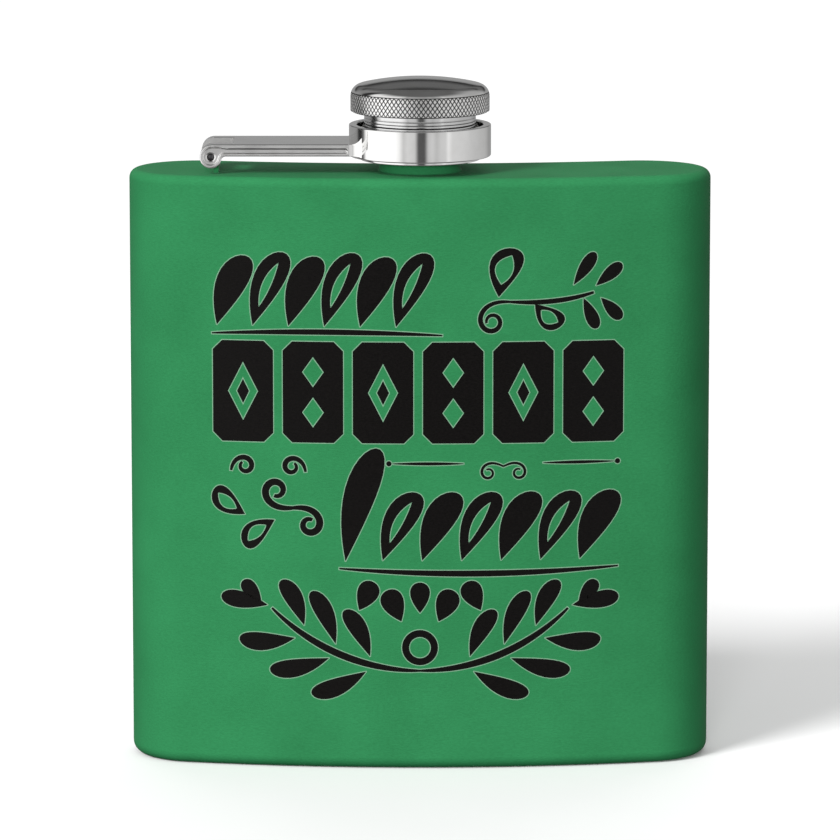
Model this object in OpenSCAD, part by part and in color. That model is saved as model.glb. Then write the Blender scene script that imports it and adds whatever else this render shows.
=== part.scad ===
// Curved hip flask with a captive screw cap on a hinged arm.
// Millimetres, +Z up. The origin is on the base, at the middle of the body's own outline.
// Drawn with the cap backed off its thread and the arm lying shut over the shoulder.

/* [Body] */
// Width of the body
body_w = 94; // [86.8:1.8:106.6]
// Height of the body, base to shoulder
body_h = 96.2; // [80:0.1:130]
// Thickness of the body, front face to back face
body_t = 22; // [20:0.5:26]
// Thickness of the sheet
wall = 0.7; // [0.5:0.1:0.9]
// Rounding of the shoulder edge
shoulder_edge = 1.5; // [1.2:0.1:2]
// Rounding of the base edge
base_edge = 1.9; // [1.2:0.1:2.5]

/* [Neck] */
// How far the neck stands in front of the middle of the outline
neck_forward = 1; // [0:0.1:2]
// Radius of the painted collar
collar_r = 6.6; // [6.5:0.05:6.8]
// Height of the painted collar
collar_h = 2; // [1.5:0.1:2.2]
// Radius over the neck's thread
thread_r = 6.4; // [6.3:0.05:6.4]
// Radius of the pouring bore
pour_r = 5; // [4.5:0.1:5.2]
// Height of the neck above the shoulder
neck_h = 7; // [6.5:0.1:7]

/* [Arm] */
// Distance from the neck's axis to the hinge pin
arm_reach = 33.55; // [30:0.05:34]
// Width of the arm
arm_w = 12; // [11:0.5:12.5]
// Underside of the arm above the shoulder
arm_low = 2.9; // [2.7:0.05:3.1]
// Top of the arm above the shoulder
arm_high = 4.85; // [4.7:0.05:5]
// Hinge pin axis above the shoulder
pin_h = 2.76; // [2.6:0.02:2.9]
// Radius of the hinge pin
pin_r = 0.6; // [0.5:0.05:0.65]
// Outside radius of the ring
ring_r = 11.45; // [11.3:0.05:12]
// Top of the ring above the shoulder
ring_high = 7.5; // [7.3:0.05:7.5]

/* [Cap] */
// Radius of the cap's head
head_r = 11.2; // [11:0.05:11.4]
// Radius of the sleeve that shows under the head
sleeve_r = 9; // [8.8:0.05:9.2]
// Height of the head's rim above the shoulder with the cap backed off
head_low = 9.55; // [9.55:0.05:9.8]
// Thread pitch
pitch = 1; // [0.9:0.05:1]
// Turns from shut to backed off
turns = 2; // [1:0.5:2]

/* [Hidden] */
$fn = 96;
fit = 0.05;                       // running clearance, and the gap left when shut
half_t = body_t / 2;
end_x = body_w / 2 - half_t;      // where the bend line stops
bend_r = end_x * 41 / 9;          // radius of the bend that fits the body to a hip
end_drop = end_x * 40 / 9;        // 9, 40 and 41 make a right triangle, so the ends meet exactly
end_y = (bend_r - end_drop) / 2;  // half the bend's depth, which centres the outline
bend_y = end_y + end_drop;
neck_y = -neck_forward;
lift = pitch * turns;

tube_r = thread_r - 0.4;          // neck below the thread
thread_h = lift;
flange_r = 7.3;
flange_t = 0.9;

ear_t = 2.4;
slot_w = arm_w - 2 * ear_t;
slot_end = 3.45;                  // from the pin to the end of the fork's slot
eye_r = 1.76;
nose_r = arm_high - pin_h;        // rounding of the ears' upper corner
nose_x = nose_r - eye_r;
under_r = 0.7;                    // fillet between an eye and the arm's underside
under_x = sqrt(pow(eye_r + under_r, 2) - pow(pin_h - arm_low + under_r, 2));
root_r = 3.6;                     // fillet between the arm and its ring, seen from above
root_x = sqrt(pow(ring_r + root_r, 2) - pow(arm_w / 2 + root_r, 2));
knuckle_r = 1.1;                  // strap curled round the pin
recess_d = 0.35;
recess_eye_r = 1.3;
recess_low = 3.35;
recess_high = 4.17;

ring_bore_r = 10.2;
ring_low = 2.6;
lip_r = 9.75;
lip_low = 1.85;
web_low = 3.9;
web_high = 4.7;
web_bore_r = 8.2;
clip_room_r = 9.3;

clip_r = 9.1;
clip_bore_r = 7.68;
clip_t = 0.7;
clip_gap_a = 40;                  // open part of the clip
clip_low = web_low - 0.1 - clip_t;

shank_r = web_bore_r - 0.08;
shank_low = 2.45;
groove_r = 7.6;
step_high = web_high + fit + lift;
mouth_r = 7.1;
mouth_high = neck_h + fit;
cap_thread_r = thread_r + fit;
seal_low = neck_h + lift + fit;
seal_t = 1;
seal_r = 6.8;
core_r = head_r - 0.82;
core_low = head_low + 0.1;
core_high = 12;
skin = 0.8;                       // sheet of the cap's cover

dome_r = 44;
dome_high = 15.03;
brow_r = 1.9;                     // rounding between the head's side and its dome
brow_x = head_r - brow_r;
brow_z = dome_high - dome_r + sqrt(pow(dome_r - brow_r, 2) - pow(brow_x, 2));
brow_a = asin(brow_x / (dome_r - brow_r));

// Sweeps a profile right round the bent body. The profile is drawn outward from the bend line.
module around_body() {
    along = [end_x, -end_drop] / 8;
    outward = [end_drop, end_x] / 8;
    intersection() {
        translate([0, bend_y, 0])
            rotate_extrude($fn = 720) {
                translate([bend_r, 0]) children();
                translate([bend_r, 0]) mirror([1, 0]) children();
            }
        translate([0, bend_y, -1])
            linear_extrude(height = body_h + 2)
                polygon([[0, 0], 10 * [-along.x, along.y], 10 * along]);
    }
    for (side = [0, 1])
        mirror([side, 0, 0])
            translate([end_x, end_y, 0])
                intersection() {
                    rotate_extrude() children();
                    translate([0, 0, -1])
                        linear_extrude(height = body_h + 2)
                            polygon([along, along + outward, outward - along, -along]);
                }
}

// Section of a flat plate with a rounded edge turned up, its flat face on the ground.
module plate_section(edge) {
    square([half_t - edge, wall]);
    difference() {
        intersection() {
            translate([half_t - edge, edge]) circle(r = edge);
            translate([half_t - edge, 0]) square(edge);
        }
        translate([half_t - edge, edge]) circle(r = edge - wall);
    }
}

// Puts its children on the neck's axis, with z = 0 on the shoulder.
module at_neck() {
    translate([0, neck_y, body_h]) children();
}

// Puts its children on the hinge pin's middle, with z = 0 on the shoulder.
module at_hinge() {
    translate([-arm_reach, neck_y, body_h]) children();
}

// A block across the arm, drawn as its side outline in x and z.
module across(width) {
    rotate([90, 0, 0]) linear_extrude(height = width, center = true) children();
}

// Side sheet, wrapped round the bend and welded to the two plates.
module body_wrap() {
    color("seagreen")
        around_body()
            translate([half_t - wall, base_edge])
                square([wall, body_h - base_edge - shoulder_edge]);
}

// Pressed base.
module base_plate() {
    color("seagreen") around_body() plate_section(base_edge);
}

// Pressed shoulder with a hole for the neck and a slot for the lug's leg.
module shoulder_plate() {
    color("seagreen")
        difference() {
            translate([0, 0, body_h]) mirror([0, 0, 1]) around_body() plate_section(shoulder_edge);
            at_neck() translate([0, 0, -2 * wall]) cylinder(r = tube_r + 0.01, h = 3 * wall);
            at_hinge() lug_leg(0.02);
        }
}

// Painted ring round the foot of the neck.
module neck_collar() {
    color("seagreen")
        at_neck()
            rotate_extrude()
                polygon([
                    [tube_r + 0.01, 0], [collar_r + 0.25, 0], [collar_r, 0.3],
                    [collar_r, collar_h - 0.2], [collar_r - 0.2, collar_h], [tube_r + 0.01, collar_h]
                ]);
}

// Steel neck: a flange under the shoulder, a plain foot and the thread's band at the top.
module pour_neck() {
    color("lightgray")
        at_neck()
            rotate_extrude()
                polygon([
                    [pour_r, -wall - flange_t], [flange_r, -wall - flange_t], [flange_r, -wall - 0.01],
                    [tube_r, -wall - 0.01], [tube_r, neck_h - thread_h], [thread_r, neck_h - thread_h],
                    [thread_r, neck_h - 0.3], [thread_r - 0.3, neck_h],
                    [pour_r + 0.3, neck_h], [pour_r, neck_h - 0.3]
                ]);
}

// The strap's leg, grown by a gap where it is cut out of the shoulder.
module lug_leg(gap) {
    translate([0.35 - gap, -slot_w / 2 + 0.15 - gap, -1.6])
        cube([0.85 + 2 * gap, slot_w - 0.3 + 2 * gap, pin_h + 1.6]);
}

// Painted strap curled round the pin, its leg let into the shoulder.
module hinge_lug() {
    color("seagreen")
        at_hinge()
            difference() {
                union() {
                    lug_leg(0);
                    translate([0, 0, pin_h]) across(slot_w - 0.3) circle(r = knuckle_r);
                }
                translate([0, 0, pin_h]) across(arm_w) circle(r = pin_r + fit);
            }
}

// Side outline of the arm from its ears to the ring.
module arm_outline() {
    translate([0, pin_h]) circle(r = eye_r);
    intersection() {
        translate([nose_x, pin_h]) circle(r = nose_r);
        translate([nose_x - nose_r, pin_h]) square(nose_r);
    }
    translate([nose_x, pin_h]) square([eye_r - nose_x, arm_high - pin_h]);
    translate([nose_x, arm_low]) square([arm_reach - nose_x, arm_high - arm_low]);
    difference() {
        polygon([[0, pin_h], [under_x, arm_low - under_r], [under_x, arm_low]]);
        translate([under_x, arm_low - under_r]) circle(r = under_r);
    }
}

// Side outline of the pressed recess that runs from the eye to the ring.
module recess_outline() {
    band = recess_high - recess_low;
    translate([0, pin_h]) circle(r = recess_eye_r);
    translate([0, recess_low]) square([arm_reach - root_x - band / 2, band]);
    translate([arm_reach - root_x - band / 2, recess_low + band / 2]) circle(r = band / 2);
}

// Section of the ring: top bore, web that traps the cap, room for the clip, and stepped foot.
module ring_section() {
    polygon([
        [web_bore_r, web_low], [clip_room_r, web_low], [clip_room_r, lip_low], [lip_r, lip_low],
        [lip_r, ring_low - 0.2], [ring_r - 0.25, ring_low - 0.2], [ring_r, ring_low + 0.05],
        [ring_r, ring_high - 0.15], [ring_r - 0.15, ring_high], [ring_bore_r + 0.1, ring_high],
        [ring_bore_r, ring_high - 0.1], [ring_bore_r, web_high], [web_bore_r, web_high]
    ]);
}

// Corner fillets that widen the arm into its ring.
module arm_roots() {
    for (side = [0, 1])
        mirror([0, side, 0])
            difference() {
                linear_extrude(height = arm_high - arm_low)
                    polygon([
                        [-root_x, arm_w / 2], [-root_x, 0], [-clip_room_r * 0.8, 0],
                        [-root_x * ring_r / (ring_r + root_r),
                         (arm_w / 2 + root_r) * ring_r / (ring_r + root_r)],
                        [-root_x, arm_w / 2 + root_r]
                    ]);
                translate([-root_x, arm_w / 2 + root_r, -1])
                    cylinder(r = root_r, h = arm_high - arm_low + 2);
            }
}

// Cast arm in one piece: fork, bar and the ring that carries the cap.
module cap_arm() {
    color("silver")
        difference() {
            union() {
                difference() {
                    union() {
                        at_hinge() across(arm_w) arm_outline();
                        at_neck() translate([0, 0, arm_low]) arm_roots();
                    }
                    at_neck() cylinder(r = ring_r - 0.4, h = 2 * ring_high);
                }
                at_neck() rotate_extrude() ring_section();
            }
            for (side = [-1, 1])
                at_hinge()
                    translate([0, side * arm_w / 2, 0]) across(2 * recess_d) recess_outline();
            at_hinge()
                translate([-2 * eye_r, -slot_w / 2, 0]) cube([2 * eye_r + slot_end, slot_w, ring_high]);
            at_hinge() translate([0, 0, pin_h]) across(2 * arm_w) circle(r = pin_r + 0.01);
        }
}

// Steel pin pressed into both ears, a little short of their faces.
module hinge_pin() {
    length = arm_w - 2 * recess_d - 1;
    color("dimgray")
        at_hinge()
            translate([0, length / 2, pin_h])
                rotate([90, 0, 0])
                    rotate_extrude()
                        polygon([
                            [0, 0], [pin_r - 0.2, 0], [pin_r, 0.2],
                            [pin_r, length - 0.2], [pin_r - 0.2, length], [0, length]
                        ]);
}

// Spring clip in the sleeve's groove. It stops the cap leaving the ring.
module retaining_clip() {
    color("gray")
        at_neck()
            rotate_extrude(angle = 360 - clip_gap_a, start = clip_gap_a / 2)
                translate([clip_bore_r, clip_low]) square([clip_r - clip_bore_r, clip_t]);
}

// Turned core of the cap: threaded bore, sleeve and the shank that slides in the ring.
module cap_core() {
    color("gainsboro")
        at_neck()
            rotate_extrude()
                polygon([
                    [0, seal_low + seal_t], [seal_r + fit, seal_low + seal_t], [seal_r + fit, seal_low],
                    [cap_thread_r, seal_low], [cap_thread_r, mouth_high], [mouth_r, mouth_high],
                    [mouth_r, shank_low], [shank_r, shank_low], [shank_r, clip_low - fit],
                    [groove_r, clip_low - fit], [groove_r, clip_low + clip_t + fit],
                    [shank_r, clip_low + clip_t + fit], [shank_r, step_high], [sleeve_r, step_high],
                    [sleeve_r, core_low], [core_r, core_low], [core_r, core_high], [0, core_high]
                ]);
}

// Silicone disc that seals on the neck's lip.
module cap_seal() {
    color("white")
        at_neck() translate([0, 0, seal_low + 0.01]) cylinder(r = seal_r, h = seal_t - 0.02);
}

// Half section of the domed head, inset by a sheet thickness.
module head_section(inset) {
    brow_edge_x = brow_x + (brow_r - inset) * sin(brow_a);
    brow_edge_z = brow_z + (brow_r - inset) * cos(brow_a);
    intersection() {
        translate([0, dome_high - dome_r]) circle(r = dome_r - inset, $fn = 720);
        translate([0, head_low]) square([brow_edge_x, dome_high]);
    }
    intersection() {
        translate([brow_x, brow_z]) circle(r = brow_r - inset);
        polygon([
            [brow_x, brow_z], [brow_x + 4 * sin(brow_a), brow_z + 4 * cos(brow_a)],
            [brow_x + 4, brow_z + 4], [brow_x + 4, brow_z]
        ]);
    }
    polygon([
        [brow_edge_x - 1, head_low], [head_r - inset, head_low], [head_r - inset, brow_z],
        [brow_x, brow_z], [brow_edge_x, brow_edge_z], [brow_edge_x - 1, brow_z]
    ]);
}

// Domed steel cover over the core, with the knurled band round its side.
module cap_cover() {
    color("silver")
        at_neck()
            difference() {
                rotate_extrude() head_section(0);
                translate([0, 0, -0.01]) rotate_extrude() head_section(skin);
            }
}

body_wrap();
base_plate();
shoulder_plate();
neck_collar();
pour_neck();
hinge_lug();
cap_arm();
hinge_pin();
retaining_clip();
cap_core();
cap_seal();
cap_cover();
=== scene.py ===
import enum
import logging
import math
from collections.abc import Callable, Iterable, Sequence
from dataclasses import dataclass, field

import bmesh
import bpy
from mathutils import Matrix, Vector

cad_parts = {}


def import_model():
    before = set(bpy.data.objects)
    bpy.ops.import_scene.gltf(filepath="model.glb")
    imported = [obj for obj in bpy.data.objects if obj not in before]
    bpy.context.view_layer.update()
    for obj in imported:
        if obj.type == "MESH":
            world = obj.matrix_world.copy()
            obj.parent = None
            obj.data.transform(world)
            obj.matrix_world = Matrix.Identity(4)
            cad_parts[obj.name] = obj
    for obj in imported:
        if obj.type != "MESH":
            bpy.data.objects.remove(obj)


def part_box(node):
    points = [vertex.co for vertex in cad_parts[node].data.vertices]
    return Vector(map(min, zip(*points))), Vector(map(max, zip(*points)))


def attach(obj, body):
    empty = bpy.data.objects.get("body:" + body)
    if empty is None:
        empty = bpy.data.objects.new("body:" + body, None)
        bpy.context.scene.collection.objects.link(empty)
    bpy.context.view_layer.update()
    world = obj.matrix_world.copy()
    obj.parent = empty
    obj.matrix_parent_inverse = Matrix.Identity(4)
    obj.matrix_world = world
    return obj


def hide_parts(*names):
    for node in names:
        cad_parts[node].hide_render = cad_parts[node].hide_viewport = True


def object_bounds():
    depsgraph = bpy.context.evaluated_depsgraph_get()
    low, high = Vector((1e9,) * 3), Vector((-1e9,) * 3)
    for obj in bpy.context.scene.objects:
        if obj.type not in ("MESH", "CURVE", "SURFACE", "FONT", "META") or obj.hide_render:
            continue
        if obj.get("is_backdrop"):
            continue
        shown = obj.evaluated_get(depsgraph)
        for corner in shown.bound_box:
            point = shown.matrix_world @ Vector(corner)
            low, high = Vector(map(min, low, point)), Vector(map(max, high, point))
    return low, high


log = logging.getLogger("hip_flask")

MM = 0.001  # the workshop measures in millimetres, the frame in metres
WELD = 0.002  # points closer than this, in millimetres, are one point
UP = Vector((0.0, 0.0, 1.0))
ORIGIN = Vector((0.0, 0.0, 0.0))
FULL_TURN = math.tau

Corner = tuple[float, ...]  # across, up and, where the corner is rounded, how far back
Point = tuple[float, float]
Triple = tuple[float, float, float]  # a linear colour, a place, or a size along each axis


class Body(enum.Enum):
    """The moving bodies that a piece can ride on."""

    FLASK = "flask"
    ARM = "arm"
    CARRIER = "carrier"
    CAP = "cap"


class Slot(enum.Enum):
    """The record's material slots."""

    COAT = "green_coat"
    STEEL = "bare_steel"
    POLISHED = "polished_metal"
    TURNED = "turned_metal"
    PIN = "pin_steel"
    SILICONE = "silicone"
    PRINT = "black_print"
    PRINT_EDGE = "print_edge"


class Recipe:
    """The node tree of one procedural material."""

    def __init__(self, name: str) -> None:
        """Starts a material that has only its shader.

        Args:
            name: What the material is called.
        """
        self.material = bpy.data.materials.new(name)
        self.material.use_nodes = True
        self.tree = self.material.node_tree
        self.shader = self.tree.nodes["Principled BSDF"]
        self.place = self.tree.nodes.new("ShaderNodeTexCoord").outputs["Object"]

    def node(self, kind: str, inputs: dict, **settings: object) -> bpy.types.Node:
        """Adds a node.

        Args:
            kind: The node's type, without its usual prefix.
            inputs: A value or a socket for each input, by name or number.
            **settings: The node's own options.

        Returns:
            The new node.
        """
        made = self.tree.nodes.new("ShaderNode" + kind)
        for option, value in settings.items():
            setattr(made, option, value)
        self.wire(made, inputs)
        return made

    def wire(self, made: bpy.types.Node, inputs: dict) -> None:
        """Sets or links a node's inputs.

        Args:
            made: The node.
            inputs: A value or a socket for each input, by name or number.
        """
        for key, value in inputs.items():
            if isinstance(value, bpy.types.NodeSocket):
                self.tree.links.new(value, made.inputs[key])
            else:
                made.inputs[key].default_value = value

    def noise(
        self, size: float, stretch: Triple = (1.0, 1.0, 1.0), detail: float = 2.0
    ) -> bpy.types.NodeSocket:
        """A noise pattern fixed to the piece.

        Args:
            size: The size of its spots in millimetres.
            stretch: How much finer the spots are along each axis.
            detail: Levels of finer noise inside the spots.

        Returns:
            The noise as a number from 0 to 1.
        """
        scaled = self.node("Mapping", {"Vector": self.place, "Scale": stretch}).outputs[0]
        made = self.node(
            "TexNoise", {"Vector": scaled, "Scale": 1 / (size * MM), "Detail": detail, "Roughness": 0.55}
        )
        return made.outputs[0]

    def rings(self, pitch: float, wobble: float = 1.2) -> bpy.types.NodeSocket:
        """Fine lines at constant height, as a turning tool leaves them.

        Args:
            pitch: Millimetres from line to line.
            wobble: How uneven the lines are.

        Returns:
            The lines as a number from 0 to 1.
        """
        made = self.node(
            "TexWave",
            {"Vector": self.place, "Scale": 0.314 / (pitch * MM), "Distortion": wobble, "Detail": 3.0},
            bands_direction="Z",
        )
        return made.outputs["Fac"]

    def spread(self, value: bpy.types.NodeSocket, low: float, high: float) -> bpy.types.NodeSocket:
        """Maps the middle of a 0 to 1 pattern onto a range.

        Args:
            value: The pattern.
            low: Where the pattern's dark parts go.
            high: Where its light parts go.

        Returns:
            The mapped number.
        """
        inputs = {"Value": value, "From Min": 0.3, "From Max": 0.7, "To Min": low, "To Max": high}
        return self.node("MapRange", inputs).outputs[0]

    def tint(
        self, share: bpy.types.NodeSocket, first: Sequence[float], second: Sequence[float]
    ) -> bpy.types.NodeSocket:
        """Mixes two colours by a pattern.

        Args:
            share: How much of the second colour, from 0 to 1.
            first: Linear red, green and blue.
            second: Linear red, green and blue.

        Returns:
            The mixed colour.
        """
        made = self.node("Mix", {0: share, 6: (*first, 1.0), 7: (*second, 1.0)}, data_type="RGBA")
        return made.outputs[2]

    def bump(
        self, height: bpy.types.NodeSocket, depth: float, strength: float, under: bpy.types.NodeSocket | None = None
    ) -> bpy.types.NodeSocket:
        """Turns a pattern into relief.

        Args:
            height: The pattern.
            depth: Its height in millimetres.
            strength: How much of the relief shows, from 0 to 1.
            under: Relief that this one lies on.

        Returns:
            The bumped normal.
        """
        inputs = {"Height": height, "Distance": depth * MM, "Strength": strength}
        if under is not None:
            inputs["Normal"] = under
        return self.node("Bump", inputs).outputs[0]

    def cut(self, pitch: float, depth: float, strength: float) -> bpy.types.NodeSocket:
        """Relief of turned lines over a faint hand polish.

        Args:
            pitch: Millimetres from line to line.
            depth: Depth of a line in millimetres.
            strength: How much of the lines shows, from 0 to 1.

        Returns:
            The bumped normal.
        """
        polish = self.bump(self.noise(1.6), depth, 0.25)
        return self.bump(self.rings(pitch), depth, strength, polish)


@dataclass(frozen=True)
class Finish:
    """A finish that is made once and shared by every piece that wears it."""

    name: str
    slot: Slot

    def material(self) -> bpy.types.Material:
        """Makes the material, the first time that it is asked for.

        Returns:
            The finished material.
        """
        found = bpy.data.materials.get(self.name)
        if found:
            return found
        recipe = Recipe(self.name)
        recipe.wire(recipe.shader, self.sockets(recipe))
        return recipe.material

    def sockets(self, recipe: Recipe) -> dict:
        """Lays out the nodes. Each finish has its own."""
        raise NotImplementedError


@dataclass(frozen=True)
class PowderCoat(Finish):
    """Baked powder over steel: satin, with a fine orange-peel grain."""

    name: str = "powder_coat"
    slot: Slot = Slot.COAT
    shade: Triple = (0.0196, 0.151, 0.0535)
    light: Triple = (0.0278, 0.205, 0.0755)
    grain: float = 0.3
    depth: float = 0.034

    def sockets(self, recipe: Recipe) -> dict:
        """Lays out the nodes.

        Args:
            recipe: The material to fill.

        Returns:
            What goes into each of the shader's sockets.
        """
        grain = recipe.noise(self.grain, stretch=(0.5, 1.0, 1.3), detail=3.0)
        clouds = recipe.noise(14.0)
        patch = recipe.node("Math", {0: grain, 1: clouds}, operation="ADD")
        half = recipe.node("Math", {0: patch.outputs[0], 1: 0.5}, operation="MULTIPLY")
        peel = recipe.bump(recipe.noise(0.9), self.depth * 1.6, 0.3)
        return {
            "Base Color": recipe.tint(recipe.spread(half.outputs[0], 0.0, 1.0), self.shade, self.light),
            "Roughness": recipe.spread(grain, 0.60, 0.72),
            "Normal": recipe.bump(grain, self.depth, 1.0, peel),
            "Specular IOR Level": 0.1,
        }


@dataclass(frozen=True)
class Chrome(Finish):
    """Polished plating with hairline wiping marks."""

    name: str = "polished_chrome"
    slot: Slot = Slot.POLISHED
    shade: Triple = (0.80, 0.795, 0.785)
    light: Triple = (0.88, 0.878, 0.872)
    smooth: float = 0.035
    worn: float = 0.085

    def sockets(self, recipe: Recipe) -> dict:
        """Lays out the nodes.

        Args:
            recipe: The material to fill.

        Returns:
            What goes into each of the shader's sockets.
        """
        hairs = recipe.noise(0.22, stretch=(0.12, 0.12, 1.4), detail=4.0)
        clouds = recipe.noise(3.5)
        wiped = recipe.bump(hairs, 0.0006, 0.35)
        return {
            "Base Color": recipe.tint(recipe.spread(clouds, 0.0, 1.0), self.shade, self.light),
            "Roughness": recipe.spread(clouds, self.smooth, self.worn),
            "Normal": recipe.bump(clouds, 0.0025, 0.3, wiped),
            "Metallic": 1.0,
        }


@dataclass(frozen=True)
class SatinChrome(Chrome):
    """Plating over a casting that was only lightly polished."""

    name: str = "satin_chrome"
    shade: Triple = (0.87, 0.865, 0.855)
    light: Triple = (0.94, 0.937, 0.93)
    smooth: float = 0.34
    worn: float = 0.44


@dataclass(frozen=True)
class ShadePaintedChrome(Chrome):
    """Dark chrome that paints the shade in grooves and corners."""

    name: str = "shade_painted_chrome"
    shade: Triple = (0.11, 0.11, 0.11)
    light: Triple = (0.20, 0.198, 0.195)
    smooth: float = 0.3
    worn: float = 0.42


@dataclass(frozen=True)
class TurnedMetal(Finish):
    """Bright metal with the lathe's lines left on it."""

    name: str = "turned_metal"
    slot: Slot = Slot.TURNED
    shade: Triple = (0.72, 0.715, 0.70)
    light: Triple = (0.86, 0.855, 0.84)
    pitch: float = 0.085
    depth: float = 0.0008
    strength: float = 0.22
    rough: Point = (0.06, 0.13)

    def sockets(self, recipe: Recipe) -> dict:
        """Lays out the nodes.

        Args:
            recipe: The material to fill.

        Returns:
            What goes into each of the shader's sockets.
        """
        lines = recipe.rings(self.pitch)
        return {
            "Base Color": recipe.tint(lines, self.shade, self.light),
            "Roughness": recipe.spread(recipe.noise(0.7, (0.3, 0.3, 2.0)), *self.rough),
            "Normal": recipe.cut(self.pitch, self.depth, self.strength),
            "Metallic": 1.0,
            "Anisotropic": 0.35,
        }


@dataclass(frozen=True)
class BrushedSteel(TurnedMetal):
    """Bare stainless steel, brushed round."""

    name: str = "brushed_steel"
    slot: Slot = Slot.STEEL
    shade: Triple = (0.50, 0.49, 0.475)
    light: Triple = (0.63, 0.62, 0.605)
    pitch: float = 0.06
    depth: float = 0.003
    strength: float = 0.6
    rough: Point = (0.22, 0.34)


@dataclass(frozen=True)
class PinSteel(TurnedMetal):
    """Dark oiled steel of the hinge pin."""

    name: str = "dark_pin_steel"
    slot: Slot = Slot.PIN
    shade: Triple = (0.075, 0.075, 0.08)
    light: Triple = (0.15, 0.15, 0.155)
    pitch: float = 0.05
    depth: float = 0.003
    strength: float = 0.6
    rough: Point = (0.24, 0.4)


@dataclass(frozen=True)
class Silicone(Finish):
    """Milky sealing rubber."""

    name: str = "milky_silicone"
    slot: Slot = Slot.SILICONE

    def sockets(self, recipe: Recipe) -> dict:
        """Lays out the nodes.

        Args:
            recipe: The material to fill.

        Returns:
            What goes into each of the shader's sockets.
        """
        clouds = recipe.noise(2.4)
        return {
            "Base Color": recipe.tint(recipe.spread(clouds, 0.0, 1.0), (0.70, 0.70, 0.67), (0.80, 0.80, 0.78)),
            "Roughness": recipe.spread(recipe.noise(0.5), 0.42, 0.56),
            "Normal": recipe.bump(clouds, 0.01, 0.3),
            "Subsurface Weight": 0.35,
            "Subsurface Scale": 0.0012,
            "IOR": 1.41,
        }


@dataclass(frozen=True)
class Ink(Finish):
    """Printed ink, which takes the grain of the coat under it."""

    name: str = "black_ink"
    slot: Slot = Slot.PRINT
    shade: Triple = (0.0018, 0.0015, 0.0014)
    light: Triple = (0.0042, 0.0036, 0.0034)

    def sockets(self, recipe: Recipe) -> dict:
        """Lays out the nodes.

        Args:
            recipe: The material to fill.

        Returns:
            What goes into each of the shader's sockets.
        """
        grain = recipe.noise(0.26, stretch=(0.55, 1.0, 1.25), detail=3.0)
        return {
            "Base Color": recipe.tint(recipe.spread(grain, 0.0, 1.0), self.shade, self.light),
            "Roughness": recipe.spread(grain, 0.40, 0.5),
            "Normal": recipe.bump(grain, 0.008, 0.45),
            "Specular IOR Level": 0.12,
        }


@dataclass(frozen=True)
class InkEdge(Ink):
    """Pale rim where the print meets the coat."""

    name: str = "pale_print_edge"
    slot: Slot = Slot.PRINT_EDGE
    shade: Triple = (0.135, 0.27, 0.17)
    light: Triple = (0.19, 0.34, 0.225)


def verts_in(geom: Iterable[object]) -> list[bmesh.types.BMVert]:
    """The vertices among an operator's results."""
    return [part for part in geom if isinstance(part, bmesh.types.BMVert)]


def edges_in(geom: Iterable[object]) -> list[bmesh.types.BMEdge]:
    """The edges among an operator's results."""
    return [part for part in geom if isinstance(part, bmesh.types.BMEdge)]


def edges_of(verts: Iterable[bmesh.types.BMVert]) -> list[bmesh.types.BMEdge]:
    """The edges that end at some vertices, each of them once and always in the same order."""
    return list(dict.fromkeys(edge for vert in verts for edge in vert.link_edges))


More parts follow.
